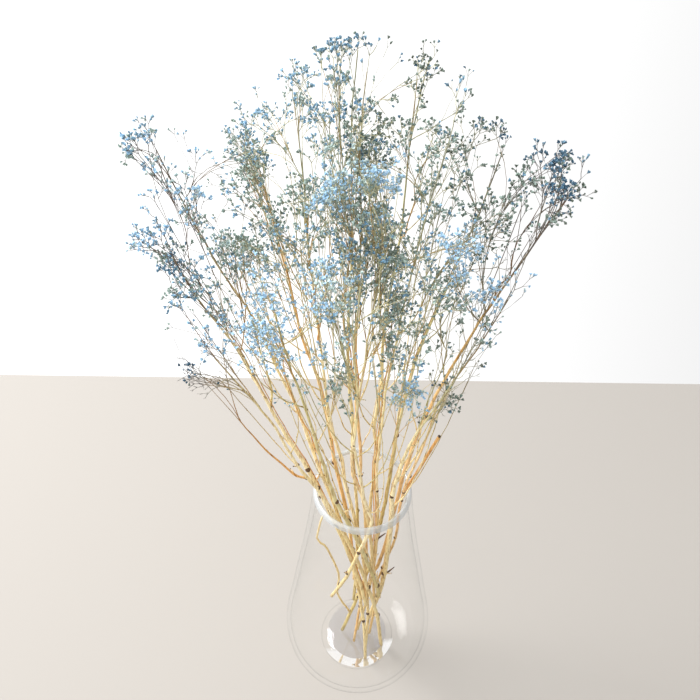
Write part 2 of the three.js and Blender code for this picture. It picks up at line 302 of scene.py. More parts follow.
def make_dry(name, stops, scale, in_arms="#3A2F2A"):
    """A dull dry skin whose colour drifts through its stops, and is darker in the arms."""
    material, shader = new_material(name)
    place = add(material, "TexCoord", {}, output="Object")
    drift = add(material, "TexNoise", {"Scale": scale, "Detail": 2}, {"Vector": place}, "Fac")
    colour = add(material, "ValToRGB", {"stops": stops}, {"Fac": drift})
    darkened = darker_in_arms(material, place, colour, in_arms)
    set_up(material, shader, {"Roughness": 0.8}, {"Base Color": darkened})
    return material


straw = make_straw()
# Leaf scars and broken spurs: almost black where the sap dried
dark_bark = make_dry("scarred node bark", [(0.3, "#3A2717"), (0.7, "#735436")], 400)
# Stalks as thin as a thread: olive, with greyer stretches
stalk_stops = [(0.35, "#8F9186"), (0.5, "#B5B290"), (0.65, "#CFC79F")]
stalk_bark = make_dry("dry stalk skin", stalk_stops, 45, "#77726F")


# %% Florets
def make_papery(name, stops):
    """Petals with a shade for each floret, darker at the closed base than at the open rim."""
    material, shader = new_material(name)
    shade = add(material, "Attribute", {"attribute_name": "shade"}, output="Fac")
    petal = add(material, "Attribute", {"attribute_name": "petal"}, output="Fac")
    colour = add(material, "ValToRGB", {"stops": stops}, {"Fac": shade})
    edge_stops = [(0.0, "#9C9C8C"), (0.5, "#E2E2E2"), (1.0, "#FFFFFF")]
    edge = add(material, "ValToRGB", {"stops": edge_stops}, {"Fac": petal})
    mixed = add(material, "Mix", {**TINT, SHARE: 1}, {FIRST: colour, SECOND: edge}, MIXED)
    set_up(material, shader, {"Roughness": 0.75}, {"Base Color": mixed})
    return material


# Dyed from navy to sky blue: the navy is partly dye that pooled and partly painted shade
blue_stops = [(0.0, "#4C7089"), (0.35, "#88B1CA"), (0.7, "#AFD6F2"), (1.0, "#C4E5FD")]
blue_paper = make_papery("dyed papery petals", blue_stops)
# Undyed from dark olive to a pale blue-grey: the dark olive is partly painted shade
grey_stops = [(0.0, "#6C786D"), (0.35, "#A1B4AA"), (0.7, "#C0D3CF"), (1.0, "#D6E8E9")]
grey_paper = make_papery("dried papery petals", grey_stops)
print("bark and paper:", [m.name for m in (straw, dark_bark, stalk_bark, blue_paper, grey_paper)])


# %% [markdown]
# ## Growing the stems again
#
# The numbers below are those of the construction, in millimetres.

# %% Sizes of the vase and stems
VASE_HEIGHT = 280
FLOOR_TOP = 9
MOUTH_RADIUS = 34.4
LIP_DEPTH = 3
STEM_RADIUS = (2.1, 2.8)
STEM_TAPER = 0.7
MOUTH_SHARE = 0.86
GAP = 0.35
LEAN = 0.24
CLEARANCE = 0.7
OUTER_FOOT = 21.5
INNER_FOOT = 9
INNER_SEAT = 12
CROSSING = 118
FIRST_SEAT = 12
FOOT_SHIFT = (5, -8, 0)
WAIST_BEND = (14, 4, 0)
VASE_STEPS = 4
INTERNODE = 46
NODE_KINK = 1.8
BEND_SHARE = 0.42

SEED = 2718
SEED_STEP = 7919
SIDE_BRANCHES = 5
TWIGS = 3
SHOOT_SHARE = 0.66
SHOOT_TAPER = 0.3
LEAVING = math.radians(48)
ELBOW_SHARE = 0.75
GOLDEN_TURN = 2.4
HIGHEST = 0.94  # the share of its bearer above which no shoot leaves
BRANCH_LENGTH = (0.62, 0.86)  # beside what is left of the stem above it
BRANCH_SIDEWAYS = (24, 40)
LOWEST_TWIG = 0.72
TWIG_LENGTH = (14, 26)
TWIG_SIDEWAYS = (9, 17)
TRIES = 8
TRY_TURN = 0.8
BLOOM_RADIUS = 3.9
BLOOM_DEPTH = 3.6
BLOOM_HOLLOW = 0.55
BLOOM_MARGIN = 1

CROWN_FLOOR = 448
CROWN_DROOP = 0.3
CROWN_LEAN = 0.11
CROWN_MIDDLE = -21
CROWN_HALF_WIDTH = 122
CROWN_HALF_DEPTH = 100
CROWN_FOOT = 0.77
CROWN_FLARE = 1 / 450
CROWN_TOP = 4

STRAY_HEEL = [(-24.5, -24, 140), (-17, -30, 172), (-9, -33.5, 205), (-1, -34.5, 240)]
# Where each main stem ends, and how far up the vase it was cut. The outer ones are in order round it.
OUTER_STEMS = [
    ((106, 4, 560), 0.42),
    ((80, 70, 544), 0),
    ((30, 80, 584), 0.5),
    ((-8, 74, 602), 0.3),
    ((-72, 74, 542), 0.45),
    ((-120, 34, 562), 0),
    ((-110, -8, 522), 0.36),
    ((-90, -42, 478), 0),
    ((-48, -62, 532), 0.4),
    ((-6, -80, 566), 0),
    ((42, -76, 496), 0),
    ((72, -38, 522), 0.34),
]
INNER_STEMS = [((40, 14, 590), 0), ((-4, 20, 614), 0), ((-40, 30, 586), 0), ((8, -38, 556), 0)]
STRAY_STEM = 9
TWIG_IN_VASE = [
    (-19.9, -5, 105),
    (-18.6, -8, 150),
    (-28.4, -10, 200),
    (-36.5, -10, 217.7),
    (-31.1, -10, 252.6),
]
# Shoots without flowers: their kind, their stem, where they leave it, their points and how thick they are
# beside it. One is a thick branch with a broken end, and one is a bare twig inside the vase.
FLOWERLESS = [
    ("broken", 11, 288, [(39, -18, 332), (47.5, -26, 380)], 0.85),
    ("bare", 1, 44, TWIG_IN_VASE, 0.5),
]


# %% Numbers and curves that the growth uses
RANGE = 2**32
FACTOR = 1664525
STEP = 1013904223


def seeded(seed):
    """One seeded run of numbers from 0 to 1, by the same rule as in the construction."""
    state = seed

    def draw():
        nonlocal state
        state = (state * FACTOR + STEP) % RANGE
        return state / RANGE

    return draw


def between(draw, low, high):
    return low + (high - low) * draw()


def point(*numbers):
    return np.array(numbers, float)


def unit(vector):
    return vector / np.linalg.norm(vector)


def polar(radius, degrees, z):
    return point(radius * math.cos(math.radians(degrees)), radius * math.sin(math.radians(degrees)), z)


def bow(start, middle, end, steps):
    """Points along the curve from a start to an end that bends towards a middle point."""
    t = np.linspace(0, 1, steps + 1)[:, None]
    return (1 - t) ** 2 * start + 2 * (1 - t) * t * middle + t**2 * end


def at_share(row, share):
    """The value a share of the way along a row."""
    place = share * (len(row) - 1)
    i = min(int(place), len(row) - 2)
    return row[i] + (row[i + 1] - row[i]) * (place - i)


def way_at(route, i):
    """Where a route runs at one of its inner points."""
    return unit(route[i + 1] - route[i - 1])


def end_way(route):
    """Where a route runs at its end."""
    return unit(route[-1] - route[-2])


UP = point(0, 0, 1)
NEARLY_UPRIGHT = 0.95


# %% Room between stems
grown = {"a": np.zeros((0, 3)), "b": np.zeros((0, 3)), "radius": np.zeros(0), "stem": np.zeros(0, int)}


def remember(parts):
    """Adds straight stretches (a, b, radius, stem) to what has grown."""
    for key, column in zip(grown, zip(*parts)):
        grown[key] = np.concatenate([grown[key], np.array(column)])


def is_clear(parts):
    """True if each stretch keeps its distance from the stretches of all other stems."""
    for a, b, radius, stem in parts:
        others = grown["stem"] != stem
        along_p = b - a
        along_q = (grown["b"] - grown["a"])[others]
        apart = a - grown["a"][others]
        pp = max(along_p @ along_p, 1e-9)
        qq = np.maximum((along_q**2).sum(1), 1e-9)
        pq, pr, qr = along_q @ along_p, apart @ along_p, (along_q * apart).sum(1)
        spread = pp * qq - pq**2
        crossed = np.clip((pq * qr - pr * qq) / np.where(spread > 1e-9, spread, 1), 0, 1)
        first = np.where(spread > 1e-9, crossed, 0)
        t = np.clip((pq * first + qr) / qq, 0, 1)
        s = np.clip((pq * t - pr) / pp, 0, 1)
        gap = np.linalg.norm(apart + along_p * s[:, None] - along_q * t[:, None], axis=1)
        if np.any(gap - radius - grown["radius"][others] <= CLEARANCE):
            return False
    return True


def stretches(points, radii, stem):
    pairs = zip(points, points[1:], radii, radii[1:])
    return [(a, b, max(r, s), stem) for a, b, r, s in pairs]


def along(points, radii, share):
    """The place, the direction and the radius a share of the way along a row of points."""
    i = min(int(share * (len(points) - 1)), len(points) - 2)
    return at_share(points, share), unit(points[i + 1] - points[i]), at_share(radii, share)


# %% Main stems
stems = []


def plant(tip, cut, seat_degrees, seat_radius, foot_radius):
    """One main stem, from its foot through the crossing and the mouth to its tip."""
    index = len(stems)
    draw = seeded(SEED + index * SEED_STEP)
    thick = between(draw, *STEM_RADIUS)
    seat = polar(seat_radius(thick), seat_degrees, VASE_HEIGHT - LIP_DEPTH)
    foot = polar(foot_radius, seat_degrees + CROSSING, FLOOR_TOP + GAP + thick * LEAN) + FOOT_SHIFT
    waist = foot + (seat - foot) * 0.5 + WAIST_BEND
    lower = bow(foot, waist, seat, VASE_STEPS)
    if index == STRAY_STEM:
        lower = np.array([*STRAY_HEEL, seat])

    end = point(*tip)
    reach = np.linalg.norm(end - seat)
    bend = seat + unit(seat - waist) * reach * BEND_SHARE
    upper = bow(seat, bend, end, round(reach / INTERNODE))[1:]
    for node in upper[:-1]:
        node[0] += between(draw, -NODE_KINK, NODE_KINK)
        node[1] += between(draw, -NODE_KINK, NODE_KINK)
    whole = np.array([*lower, *upper])
    thickness = thick * (1 - STEM_TAPER * np.linspace(0, 1, len(whole)))

    first = int(cut * VASE_STEPS)
    start = whole[first] + (whole[first + 1] - whole[first]) * (cut * VASE_STEPS - first)
    points = np.array([start, *whole[first + 1 :]])
    radii = thickness[first:]
    remember(stretches(points, radii, index))
    stems.append(
        {
            "draw": draw,
            "reach": reach,
            "top": end[2] + CROWN_TOP,
            "crown": (whole[VASE_STEPS:], thickness[VASE_STEPS:]),
            "rods": [{"kind": "stem", "points": points, "radii": radii, "parent": None, "share": 0}],
            "first_in_crown": len(points) - len(whole[VASE_STEPS:]),
        }
    )


for i, (tip, cut) in enumerate(OUTER_STEMS):
    degrees = FIRST_SEAT + i * 360 / len(OUTER_STEMS)
    plant(tip, cut, degrees, lambda thick: MOUTH_RADIUS - GAP - thick * MOUTH_SHARE, OUTER_FOOT)
for i, (tip, cut) in enumerate(INNER_STEMS):
    plant(tip, cut, i * 360 / len(INNER_STEMS), lambda thick: INNER_SEAT, INNER_FOOT)
print("main stems:", len(stems))


# %% Side branches and twigs
def is_in_crown(tip, top):
    above = tip[2] - CROWN_FLOOR
    widening = min(max(CROWN_FOOT + above * CROWN_FLARE, CROWN_FOOT), 1)
    across = (tip[0] - CROWN_MIDDLE - CROWN_LEAN * above) / (CROWN_HALF_WIDTH * widening)
    deep = tip[1] / (CROWN_HALF_DEPTH * widening)
    floor = CROWN_FLOOR - abs(tip[0]) * CROWN_DROOP
    return floor < tip[2] < top and math.hypot(across, deep) < 1


def side_of(direction, turn):
    """A direction across another one, turned round it from the side that lies level."""
    side = point(1, 0, 0) if abs(direction @ UP) > NEARLY_UPRIGHT else np.cross(UP, direction)
    side = unit(side - direction * (side @ direction))
    return side * math.cos(turn) + np.cross(direction, side) * math.sin(turn)


def any_side(chance, direction):
    """A random direction across another one."""
    return side_of(direction, chance.uniform(0, math.tau))


def shoot(at, direction, turn, length, sideways, steps):
    """A shoot's points: it leaves its parent at a wide angle, bends up and runs on beside it."""
    side = side_of(direction, turn)
    out = sideways * ELBOW_SHARE
    elbow = at + side * out + direction * (out / math.tan(LEAVING))
    return bow(at, elbow, at + side * sideways + direction * length, steps)


def try_shoot(index, kind, parent, share, base, turn, length, sideways, steps):
    """Grows a shoot at the first of several turns where it stays in the crown and clear of the rest."""
    stem = stems[index]
    at, direction, radius = base
    for attempt in range(TRIES):
        points = shoot(at, direction, turn + attempt * TRY_TURN, length, sideways, steps)
        radii = radius * SHOOT_SHARE * (1 - SHOOT_TAPER * np.linspace(0, 1, steps + 1))
        end = points[-1]
        parts = [*stretches(points, radii, index), (end, end, BLOOM_RADIUS + BLOOM_MARGIN, index)]
        if is_in_crown(end, stem["top"]) and is_clear(parts):
            remember(parts)
            rod = {"kind": kind, "points": points, "radii": radii, "parent": parent, "share": share}
            stem["rods"].append(rod)
            return rod
    return None


for kind, index, height, route, slim in FLOWERLESS:
    parent = stems[index]["rods"][0]
    i = next(n for n, p in enumerate(parent["points"]) if p[2] > height) - 1
    below, above = parent["points"][i], parent["points"][i + 1]
    part = (height - below[2]) / (above[2] - below[2])
    points = np.array([below + (above - below) * part, *route], float)
    radii = np.full(len(points), parent["radii"][i + 1] * slim)
    remember(stretches(points, radii, index))
    share = (i + part) / (len(parent["points"]) - 1)
    rod = {"kind": kind, "points": points, "radii": radii, "parent": parent, "share": share}
    stems[index]["rods"].append(rod)

for k in range(SIDE_BRANCHES):
    for index, stem in enumerate(stems):
        draw = stem["draw"]
        main = stem["rods"][0]
        height = HIGHEST * (k + 0.3 + 0.4 * draw()) / SIDE_BRANCHES
        base = along(*stem["crown"], height)
        first = stem["first_in_crown"]
        last = len(main["points"]) - 1
        share = (first + height * (last - first)) / last
        turn = k * GOLDEN_TURN + index + draw()
        length = stem["reach"] * (1 - height) * between(draw, *BRANCH_LENGTH)
        sideways = between(draw, *BRANCH_SIDEWAYS) * (1 - 0.4 * height)
        branch = try_shoot(index, "branch", main, share, base, turn, length, sideways, 4 if k < 2 else 3)
        if not branch:
            continue
        lowest = LOWEST_TWIG - 0.3 * height
        for j in range(TWIGS):
            share = lowest + (HIGHEST - lowest) * (j / (TWIGS - 1))
            base = along(branch["points"], branch["radii"], share)
            turn = j * GOLDEN_TURN + draw() * 1.5
            length = between(draw, *TWIG_LENGTH)
            try_shoot(index, "twig", branch, share, base, turn, length, between(draw, *TWIG_SIDEWAYS), 1)


# %% Check against the frame
def node_name(index):
    return f"spray_{index + 1:02d}"


FLOWERING = ("stem", "branch", "twig")
SAME_PLACE = 0.02
found = tips = 0
for index, stem in enumerate(stems):
    solid = frame["nodes"][node_name(index)].data
    corners = np.array([v.co for v in solid.vertices]) / MM
    for rod in stem["rods"]:
        if rod["kind"] in FLOWERING:
            middle = rod["points"][-1] + end_way(rod["points"]) * BLOOM_DEPTH * (1 - BLOOM_HOLLOW)
            tips += 1
            found += np.linalg.norm(corners - middle, axis=1).min() < SAME_PLACE
print("tips that the frame has too:", found, "of", tips)

# %% [markdown]
# ## From solids to stems
#
# The construction draws each stem as a rod with corners. A real stem is straight between its nodes,
# bends a little at each, and swells there where leaves once stood. So each route is rounded, strays a
# little from its solid's middle line, and gets its own thickness: slimmer than the solid at the foot and
# in the crown, and nearly as thick at the mouth of the vase.


# %% Rounded routes
def rounded(points, steps):
    """A smooth run through a row of points, with some steps from each point to the next."""
    ends = np.array([2 * points[0] - points[1], *points, 2 * points[-1] - points[-2]])
    t = np.linspace(0, 1, steps, endpoint=False)[:, None]
    run = []
    for p0, p1, p2, p3 in zip(ends, ends[1:], ends[2:], ends[3:]):
        inner = 2 * p0 - 5 * p1 + 4 * p2 - p3 + t * (3 * (p1 - p2) + p3 - p0)
        run.extend(p1 + 0.5 * t * (p2 - p0 + t * inner))
    return np.array([*run, points[-1]])


ROUND_STEPS = {"stem": 4, "branch": 4, "twig": 6, "broken": 4, "bare": 4}
# The real thickness beside the construction's. A main stem passes the mouth near 0.45 of its length.
SLIM_AT = (0, 0.45, 0.62, 1)
SLIM = {
    "stem": (0.7, 0.94, 0.8, 0.44),
    "branch": (0.58, 0.45, 0.41, 0.34),
    "twig": (0.4, 0.36, 0.34, 0.32),
    "broken": (1.25, 1.2, 1.2, 1.1),
    "bare": (0.9, 0.85, 0.8, 0.7),
}
STRAY = 1.3  # how far a stem strays from its solid's middle line at a node
TREMOR = 0.35  # how far it strays between two nodes
ROUTE_SEED = 500
STEM_KINDS = (0.82, 1.12)  # the thinnest and the thickest stem beside the usual one
STRAY_KIND = 0.78
LAST_TONE = 0.75  # the warmest tone of a shoot that isn't broken

for index, stem in enumerate(stems):
    chance = Random(ROUTE_SEED + index)
    stoutness = STRAY_KIND if index == STRAY_STEM else chance.uniform(*STEM_KINDS)
    for rod in stem["rods"]:
        points = rod["points"].copy()
        if rod["parent"]:
            points[0] = at_share(rod["parent"]["route"], rod["share"])
        else:
            for node in points[1:-1]:
                node[:2] += chance.uniform(-STRAY, STRAY), chance.uniform(-STRAY, STRAY)
        rod["route"] = rounded(points, ROUND_STEPS[rod["kind"]])
        for place in rod["route"][1:-1]:
            place += [chance.uniform(-TREMOR, TREMOR) for _ in range(3)]
        places = np.linspace(0, len(points) - 1, len(rod["route"]))
        slim = np.interp(np.linspace(0, 1, len(places)), SLIM_AT, SLIM[rod["kind"]])
        rod["thickness"] = np.interp(places, range(len(points)), rod["radii"]) * slim * stoutness
        rod["tone"] = 1.0 if rod["kind"] == "broken" else chance.random() * LAST_TONE
thickest = 2 * max(stem["rods"][0]["thickness"].max() for stem in stems)
print("thickest stem:", round(thickest, 2), "mm across")

# %% [markdown]
# ## Clouds of florets
#
# Seen from a step away, the florets gather in clouds, with white gaps between them. Each cloud is listed
# with its middle and its half sizes in millimetres, across and upwards. Then come the number of sprigs
# in it, the share of its heads that are dyed, how pale they are, and the share that lost their florets.
# How pale they are is partly their paper's tone and partly painted light and shade.

# %% Clouds
Cloud = namedtuple("Cloud", "middle half sprigs dyed shade bare", defaults=[0])
CLOUDS = [
    # The upper left, with two long arms that reach out of the crown
    ((-119, 12, 569), (8, 8), 9, 0.95, 0.5),
    ((-102, 26, 528), (6, 12), 6, 0.7, 0.8),
    ((-116, -8, 526), (8, 8), 8, 1, 0.8),
    ((-108, -12, 506), (8, 10), 7, 0.8, 0.35),
    # A low arm on the left that lost most of its florets
    ((-92, -42, 457), (9, 7), 9, 0.6, 0, 0.75),
    ((-85, -42, 476), (5, 4), 3, 1, 0.6),
    # The round head at the back on the left, and what lies around it
    ((-77, 66, 536), (9, 7), 17, 0.6, 0.5),
    ((-71, 50, 526), (8, 7), 7, 0.1, 0.4),
    ((-65, 58, 531), (6, 6), 4, 0.4, 0.5),
    ((-62, 66, 557), (12, 6), 6, 1, 0.6),
    ((-41, 55, 580), (9, 8), 7, 1, 0.45),
    ((-30, 50, 561), (10, 7), 4, 0.8, 0.5),
    # The top and the dense column under it
    ((-19, 30, 604), (8, 5), 8, 1, 0.3),
    ((-7, 36, 574), (7, 9), 5, 0.35, 0.5),
    ((-4, 20, 560), (8, 6), 22, 0.1, 0.15),
    ((-17, 5, 548), (6, 9), 22, 0.6, 0.85),
    ((-24, 5, 540), (5, 8), 11, 0.6, 0.8),
    ((2, -5, 554), (7, 5), 17, 1, 0.95),
    ((0, -10, 535), (8, 9), 17, 0.2, 0.35),
    ((6, -20, 523), (9, 10), 20, 0.25, 0.3),
    ((-12, -12, 514), (7, 9), 14, 0.3, 0.4),
    ((12, -30, 503), (6, 10), 15, 0.1, 0.3),
    ((10, -40, 478), (4, 9), 5, 0.1, 0.3),
    # Dark and thin heads at the back, and the grey ones before them
    ((23, 58, 586), (6, 7), 6, 0.1, 0.05),
    ((12, 50, 562), (6, 8), 2, 0, 0.2),
    ((35, 45, 556), (7, 7), 8, 0.3, 0.35),
    ((28, 30, 542), (6, 12), 5, 0, 0.5),
    ((32, 10, 532), (7, 8), 4, 0, 0.4),
    ((21, -5, 531), (7, 7), 1, 0.5, 0.5),
    ((59, 60, 546), (8, 7), 3, 0.2, 0.1),
    ((71, 60, 553), (8, 4), 3, 0.5, 0.15),
    ((49, 40, 531), (6, 10), 3, 0, 0.2),
    # The navy arm on the right, and the greys beside it
    ((92, 10, 558), (8, 7), 8, 0.85, 0.1),
    ((99, 4, 551), (6, 8), 7, 0.7, 0.05),
    ((87, 10, 569), (11, 4), 1, 1, 0.2),
    ((74, 10, 547), (7, 6), 4, 0.1, 0.3),
    ((64, 10, 533), (9, 7), 8, 0.1, 0.25),
    ((64, -20, 523), (8, 9), 4, 0, 0.1, 0.4),
    # Sky blue on the right, low in front
    ((58, -38, 512), (10, 5), 4, 1, 0.85),
    ((42, -20, 534), (7, 10), 9, 1, 0.95),
    ((43, -30, 517), (6, 6), 9, 1, 0.95),
    ((33, -40, 503), (12, 9), 5, 0.1, 0.35),
    ((25, -50, 489), (9, 7), 2, 0, 0.3, 0.3),
    # Sky blue on the left, low in front
    ((-57, -50, 498), (9, 5), 16, 1, 0.9),
    ((-52, -42, 525), (8, 6), 6, 1, 0.9),
    ((-26, -45, 521), (9, 10), 15, 0.8, 0.8),
    ((-13, -40, 500), (6, 9), 4, 0.4, 0.4),
    # Small bushes low in front, above the mouth
    ((-18, -50, 453), (5, 8), 5, 0.25, 0.35),
    ((-20, -48, 472), (5, 4), 5, 1, 0.9),
    ((42, -60, 459), (7, 6), 7, 0, 0.1, 0.6),
    ((20, -58, 463), (9, 5), 8, 0.6, 0.7),
    # Greys between the left arm and the column
    ((-84, 0, 516), (7, 11), 8, 0.35, 0.5),
    ((-66, 0, 512), (8, 9), 16, 0.15, 0.35),
    ((-51, 10, 526), (8, 7), 9, 0, 0.35),
    ((-39, 15, 538), (8, 6), 11, 0, 0.35),
    ((-43, -10, 518), (8, 6), 1, 0.3, 0.5),
    ((-88, -12, 494), (6, 8), 6, 0.3, 0.5),
    # What fills in between the others, all over the crown
    ((54, -5, 526), (6, 7), 4, 0, 0.2, 0.2),
    ((-20, 25, 556), (7, 7), 5, 0.7, 0.6),
    ((-102, -20, 491), (7, 7), 4, 0.5, 0.5),
    ((-74, 30, 522), (6, 8), 4, 0.2, 0.5),
    ((-38, 50, 567), (7, 5), 1, 0.9, 0.5),
    ((69, 0, 529), (8, 8), 4, 0.1, 0.3, 0.2),
    ((28, -30, 514), (6, 7), 1, 0.3, 0.5),
    ((-9, 28, 566), (6, 5), 7, 0.1, 0.2),
    ((14, -8, 531), (5, 8), 3, 0.2, 0.35),
]
CLOUD_FRINGE = 9
# The crown is nearly as deep as it is wide, so each cloud is long and points to the viewer
VIEWER = point(-11, -304, 747)
CLOUD_DEPTH = 34

clouds = [Cloud(*row) for row in CLOUDS]
cloud_at = np.array([cloud.middle for cloud in clouds], float)
cloud_half = np.array([(across, upwards, upwards) for across, upwards in (c.half for c in clouds)], float)
cloud_way = cloud_at - VIEWER
cloud_way /= np.linalg.norm(cloud_way, axis=1)[:, None]


def cloud_near(place):
    """The cloud nearest to a place, and how far off it is: below 1 the place is inside it or its fringe."""
    off = place - cloud_at
    deep = (off * cloud_way).sum(1)
    beside = np.linalg.norm((off - cloud_way * deep[:, None]) / (cloud_half + CLOUD_FRINGE), axis=1)
    far = np.hypot(beside, deep / (CLOUD_DEPTH + CLOUD_FRINGE))
    return clouds[int(np.argmin(far))], far.min()


print("clouds:", len(clouds), "sprigs in them:", sum(cloud.sprigs for cloud in clouds))

# %% [markdown]
# ## Heads, sprigs and limbs
#
# Baby's breath flowers in cymes: a stalk ends in a floret, and two stalks fork from just below it, each
# with its own floret and its own fork, three or four times over. A recursive function grows such a head
# from a place and a heading. A sprig is a fine shoot that carries heads, and a limb is a longer one that
# carries sprigs. Both are aimed at a place in a cloud, and start where a stem passes at a good distance
# and already points that way, so that they part from it at a narrow angle as real ones do.

# %% Heads
# How far a head reaches and how often its stalks fork, by what it stands on
HEADS = dict(stem=(20, 3), branch=(15, 3), twig=(11, 2), sprig=(14, 3), side=(9, 2), lone=(10, 1))
HEAD_SIZE = (0.8, 1.1)
HEAD_SHADE = 0.12  # how much the shade of a head strays from that of its cloud
FLORET_SHADE = 0.16  # how much the shade of a floret strays from that of its head
DYED_ALIKE = 0.9  # the share of a head's florets that took the dye as the others did
STALK_RADIUS = 0.11
STALK_GAIN = 0.035
STALK_BOW = 0.06
FORK_ANGLE = (20, 42)
FORK_TURN = (1.2, 2)
FORK_SHRINK = (0.6, 0.86)
MIDDLE_LEAN = 0.3
MIDDLE_LENGTH = 0.5  # the floret between two stalks stands on a shorter one
RISE = 0.1
LOST_STALK = 0.12  # the share of stalks that broke off
box_low = np.array(cad_box[0]) / MM
box_high = np.array(cad_box[1]) / MM
TOP_MARGIN = 2
EDGE_MARGIN = 9


def fork(spray, chance, at, heading, length, forks, turn, look):
    """One stalk of a head. It ends in a floret, or in a floret between two stalks that fork again."""
    end = at + heading * length
    if np.any(end < box_low) or np.any(end > box_high - TOP_MARGIN):
        return
    bow_out = any_side(chance, heading) * length * STALK_BOW
    middle = [(at + end) / 2 + bow_out] if forks > 1 else []
    route = np.array([at, *middle, end])
    spray["stalks"].append((route, [STALK_RADIUS + STALK_GAIN * forks] * len(route), 0))
    if not forks:
        if look["bare"]:
            return
        dyed = look["dyed"] if chance.random() < DYED_ALIKE else not look["dyed"]
        shade = min(max(look["shade"] + chance.uniform(-FLORET_SHADE, FLORET_SHADE), 0), 1)
        spray["florets"].append((end, heading, dyed, shade))
        return
    side = side_of(heading, turn)
    lean = any_side(chance, heading) * MIDDLE_LEAN
    fork(spray, chance, end, unit(heading + lean), length * MIDDLE_LENGTH, 0, 0, look)
    for way in (1, -1):
        if chance.random() < LOST_STALK:
            continue
        angle = math.radians(chance.uniform(*FORK_ANGLE))
        away = unit(heading * math.cos(angle) + side * way * math.sin(angle) + UP * RISE)
        shorter = length * chance.uniform(*FORK_SHRINK)
        fork(spray, chance, end, away, shorter, forks - 1, turn + chance.uniform(*FORK_TURN), look)


def head(spray, chance, at, heading, kind):
    """A cyme at a place. The nearest cloud says what its florets look like."""
    cloud, _ = cloud_near(at)
    look = {
        "dyed": chance.random() < cloud.dyed,
        "shade": cloud.shade + chance.uniform(-HEAD_SHADE, HEAD_SHADE),
        "bare": chance.random() < cloud.bare,
    }
    reach, forks = HEADS[kind]
    reach *= chance.uniform(*HEAD_SIZE)
    shrink = sum(FORK_SHRINK) / 2
    first = reach * (1 - shrink) / (1 - shrink ** (forks + 1))
    fork(spray, chance, at, heading, first, forks, chance.uniform(0, math.tau), look)


# %% Limbs and sprigs
BEND_COST = 3.5  # how much a turned direction counts beside a wrong distance
CROWDING = 0.5  # how much each earlier shoot puts a place off
STEM_CROWDING = 0.06  # how much each limb puts its whole stem off
FREE_ABOVE = 288  # limbs bend away from their stems above the mouth
MOUTH = point(0, 0, VASE_HEIGHT)

SPRIGS_PER_LIMB = 8
LIMB_REACH = (45, 125)
LIMB_SHORT = 24  # what a limb leaves to its sprigs
LIMB_LEAVING = math.radians(34)
LIMB_TURN = 8  # millimetres of chance in the side on which it leaves
LIMB_WANDER = (0.8, 3.2)
LIMB_ROOT = (0.5, 1.05)
LIMB_TIP = 0.2
LIMB_STEPS = 5
ELBOW_OUT = (2.5, 7)  # how far a limb goes sideways before it turns up
FROM_VASE = 3  # one limb in so many runs beside its stem from down in the vase
VASE_FORKS = (40, 190)  # how high in the vase it begins
STAND_OFF = 1  # how far it keeps from its stem

SPRIG_SEED = 1000
SPRIG_REACH = (16, 48)
SPRIG_BEND = 0.5
SPRIG_ROOT = 0.28
SPRIG_TIP = 0.16
SPRIG_STEPS = 4
SPRIG_BEARERS = 400  # sprigs stand on what is above this height
SIDE_HEADS_AT = (2, 3)
SIDE_HEADS = 0.6  # the share of those places that bear a head
HEAD_LENGTH = 9  # what a sprig's head adds to it
COLLAR = 1.45


class Bearers:
    """The places on some rods that can bear a shoot."""

    def __init__(self, rods, lowest, stem_crowding=0.0):
        self.rows = []
        self.stem_crowding = stem_crowding
        for index, rod in rods:
            route = rod["route"]
            for i in range(1, len(route) - 1):
                if route[i][2] > lowest:
                    self.rows.append((index, rod, i, way_at(route, i)))
        self.places = np.array([rod["route"][i] for _, rod, i, _ in self.rows])
        self.ways = np.array([way for *_, way in self.rows])
        self.stems = np.array([index for index, *_ in self.rows])
        self.used = np.zeros(len(self.rows))

    def best(self, target, wanted):
        """The place that suits a shoot to a target: about as far off as wanted, and pointing there."""
        away = target - self.places
        far = np.maximum(np.linalg.norm(away, axis=1), 1e-6)
        turned = 1 - (away * self.ways).sum(1) / far
        i = int(np.argmin(np.abs(far / wanted - 1) + BEND_COST * turned + CROWDING * self.used))
        self.used[i] += 1
        self.used[self.stems == self.stems[i]] += self.stem_crowding
        return self.rows[i]


def within(chance, cloud, short):
    """A place short of a random one in a cloud, on the way there from the mouth."""
    across, upwards = cloud.half
    way = unit(point(*(chance.gauss(0, 1) for _ in range(3))))
    place = point(*cloud.middle) + way * chance.random() ** 0.4 * (across, upwards, upwards)
    deeper = place + unit(place - VIEWER) * chance.uniform(-CLOUD_DEPTH, CLOUD_DEPTH)
    if np.all(deeper > box_low + EDGE_MARGIN) and np.all(deeper < box_high - EDGE_MARGIN):
        place = deeper
    return place - unit(place - MOUTH) * short


